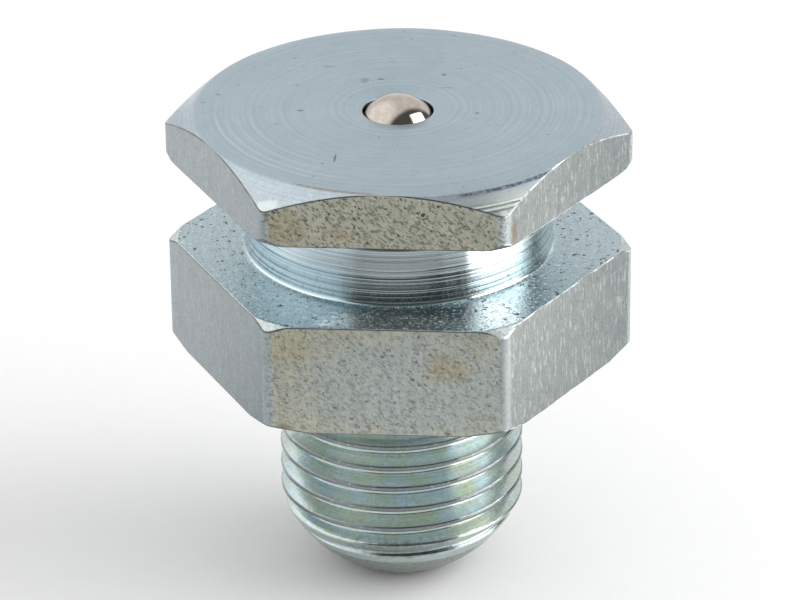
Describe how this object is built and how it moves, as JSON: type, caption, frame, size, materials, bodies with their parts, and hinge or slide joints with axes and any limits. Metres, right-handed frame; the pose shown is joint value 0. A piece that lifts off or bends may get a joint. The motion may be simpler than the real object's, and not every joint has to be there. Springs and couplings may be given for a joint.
{
  "type": "grease nipple",
  "caption": "Button-head grease nipple cut from hexagon bar: grooved neck for a slide-on coupler, spring-loaded check ball staked into its face, and a parallel threaded shank.",
  "frame": {"origin": "centre of the shank's tip, on which the nipple stands", "axes": "+Z along the nipple's axis towards the head's face; two flats of the hexagon face -Y and +Y"},
  "size_m": [0.0182, 0.0158, 0.0202],
  "materials": {
    "plated_steel": "zinc plated, blue-white passivated, with turning marks and worn specks",
    "ball_steel": "polished hardened steel",
    "spring_steel": "drawn spring wire"
  },
  "bodies": {
    "nipple": {"nipple_body": "plated_steel", "valve_spring": "spring_steel"},
    "ball": {"check_ball": "ball_steel"}
  },
  "joints": [
    {"name": "ball_slide", "type": "slide", "parent": "nipple", "child": "ball", "axis": [0, 0, 1], "range_m": [-0.0015, 0], "stiffness_N_per_m": 1720, "deforming": ["valve_spring"]}
  ]
}
